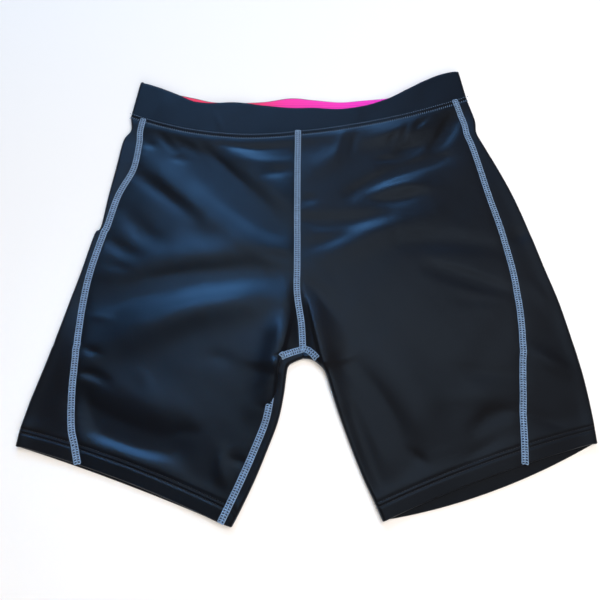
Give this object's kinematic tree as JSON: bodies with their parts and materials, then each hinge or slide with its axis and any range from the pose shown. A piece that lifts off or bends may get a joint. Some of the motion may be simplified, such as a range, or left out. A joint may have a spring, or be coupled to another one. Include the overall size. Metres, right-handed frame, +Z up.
{
  "type": "sports shorts",
  "caption": "Black stretch sports shorts laid flat, with an elastic waistband, pink band lining and raised blue flatlock seams.",
  "frame": {"origin": "middle of the box that the garment fills, on the surface it lies on", "axes": "+X to the right as seen from above, +Y towards the waistband, +Z up, away from the surface"},
  "size_m": [0.5252, 0.485, 0.0084],
  "materials": {
    "cloth": "smooth black stretch knit with a soft satin sheen",
    "band": "matt black doubled knit over elastic",
    "lining": "bright pink brushed elastic knit",
    "thread": "steel blue flatlock stitching thread"
  },
  "bodies": {
    "root": {"waistband": "band", "waistband_lining": "lining", "front_left": "cloth", "front_right": "cloth", "back_left": "cloth", "back_right": "cloth", "seam_centre_front": "thread", "seam_side_left": "thread", "seam_side_right": "thread", "seam_inseam_left": "thread"}
  },
  "joints": []
}
